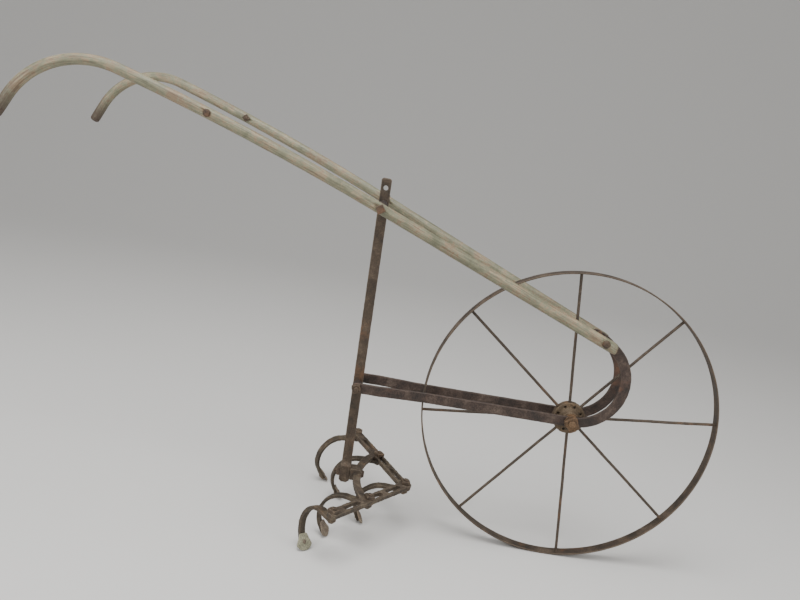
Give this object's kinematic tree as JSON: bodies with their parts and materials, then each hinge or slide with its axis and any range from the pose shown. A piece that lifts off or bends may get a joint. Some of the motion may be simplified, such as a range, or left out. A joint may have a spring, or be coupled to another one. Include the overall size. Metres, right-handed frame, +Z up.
{
  "type": "wheel cultivator",
  "caption": "Walk-behind garden cultivator: a tall spoked wheel in a flat-bar fork, long bent wooden handles, an upright, and a slotted V frame with curved tines.",
  "frame": {"origin": "on the ground straight below the axle, in the middle of the wheel's width", "axes": "+X forward, the way the tool is pushed; +Y to the operator's left, along the axle; +Z up"},
  "size_m": [1.4277, 0.443, 0.8606],
  "materials": {
    "dark_iron": "brown-black rust",
    "rusty_steel": "brown rust with orange patches",
    "cast_iron": "rough rusted casting",
    "worn_steel": "pale dried soil over worn steel",
    "handle_wood": "faded grey-green paint worn to bare wood"
  },
  "bodies": {
    "frame": {"fork_bar_right": "dark_iron", "fork_bar_left": "dark_iron", "fork_bolt": "dark_iron", "fork_bolt_nut": "rusty_steel", "fork_spacers": "dark_iron", "upright": "dark_iron", "handle_right": "handle_wood", "handle_left": "handle_wood", "handle_front_bolts": "rusty_steel", "handle_front_nuts": "rusty_steel", "handle_cross_bolt": "rusty_steel", "handle_cross_nut": "rusty_steel", "handle_cross_spacers": "dark_iron", "rung_bolts": "rusty_steel", "rung_nuts": "rusty_steel", "axle_bolt": "dark_iron", "axle_nut": "rusty_steel", "axle_washers": "dark_iron", "tool_frame": "cast_iron", "tool_frame_bolt": "dark_iron", "tool_frame_nut": "rusty_steel"},
    "wheel": {"wheel_rim": "rusty_steel", "wheel_hub": "cast_iron", "spoke_1": "rusty_steel", "spoke_2": "rusty_steel", "spoke_3": "rusty_steel", "spoke_4": "rusty_steel", "spoke_5": "rusty_steel", "spoke_6": "rusty_steel", "spoke_7": "rusty_steel", "spoke_8": "rusty_steel"},
    "tine_1": {"tine_shank_1": "dark_iron", "tine_point_1": "worn_steel", "tine_rivet_1": "dark_iron", "tine_bolt_1": "rusty_steel", "tine_nut_1": "rusty_steel"},
    "tine_3": {"tine_shank_3": "dark_iron", "tine_point_3": "worn_steel", "tine_rivet_3": "dark_iron", "tine_bolt_3": "rusty_steel", "tine_nut_3": "rusty_steel"},
    "tine_5": {"tine_shank_5": "dark_iron", "tine_point_5": "worn_steel", "tine_rivet_5": "dark_iron", "tine_bolt_5": "rusty_steel", "tine_nut_5": "rusty_steel"},
    "tine_2_bolt": {"tine_bolt_2": "rusty_steel", "tine_nut_2": "rusty_steel"},
    "tine_2": {"tine_shank_2": "dark_iron", "tine_point_2": "worn_steel", "tine_rivet_2": "dark_iron"},
    "tine_4_bolt": {"tine_bolt_4": "rusty_steel", "tine_nut_4": "rusty_steel"},
    "tine_4": {"tine_shank_4": "dark_iron", "tine_point_4": "worn_steel", "tine_rivet_4": "dark_iron"}
  },
  "joints": [
    {"name": "wheel_spin", "type": "hinge", "parent": "frame", "child": "wheel", "pos_m": [0, 0, 0.305], "axis": [0, 1, 0], "continuous": true},
    {"name": "tine_1_turn", "type": "hinge", "parent": "frame", "child": "tine_1", "pos_m": [-0.44386, -0.19658, 0.0991], "axis": [0.1037, -0.0246, 0.9943], "range_deg": [-8, 40]},
    {"name": "tine_3_turn", "type": "hinge", "parent": "frame", "child": "tine_3", "pos_m": [-0.31, 0, 0.09], "axis": [0.1037, -0.0246, 0.9943], "range_deg": [-12, 12]},
    {"name": "tine_5_turn", "type": "hinge", "parent": "frame", "child": "tine_5", "pos_m": [-0.42894, 0.2054, 0.10748], "axis": [0.1037, -0.0246, 0.9943], "range_deg": [-30, 20]},
    {"name": "tine_2_shift", "type": "slide", "parent": "frame", "child": "tine_2_bolt", "axis": [0.5624, 0.826, -0.0382], "range_m": [0, 0.03]},
    {"name": "tine_2_turn", "type": "hinge", "parent": "tine_2_bolt", "child": "tine_2", "pos_m": [-0.38084, -0.10403, 0.09482], "axis": [0.1037, -0.0246, 0.9943], "range_deg": [-8, 14]},
    {"name": "tine_4_shift", "type": "slide", "parent": "frame", "child": "tine_4_bolt", "axis": [0.4998, -0.863, -0.0735], "range_m": [0, 0.03]},
    {"name": "tine_4_turn", "type": "hinge", "parent": "tine_4_bolt", "child": "tine_4", "pos_m": [-0.37295, 0.1087, 0.09925], "axis": [0.1037, -0.0246, 0.9943], "range_deg": [-14, 8]}
  ]
}
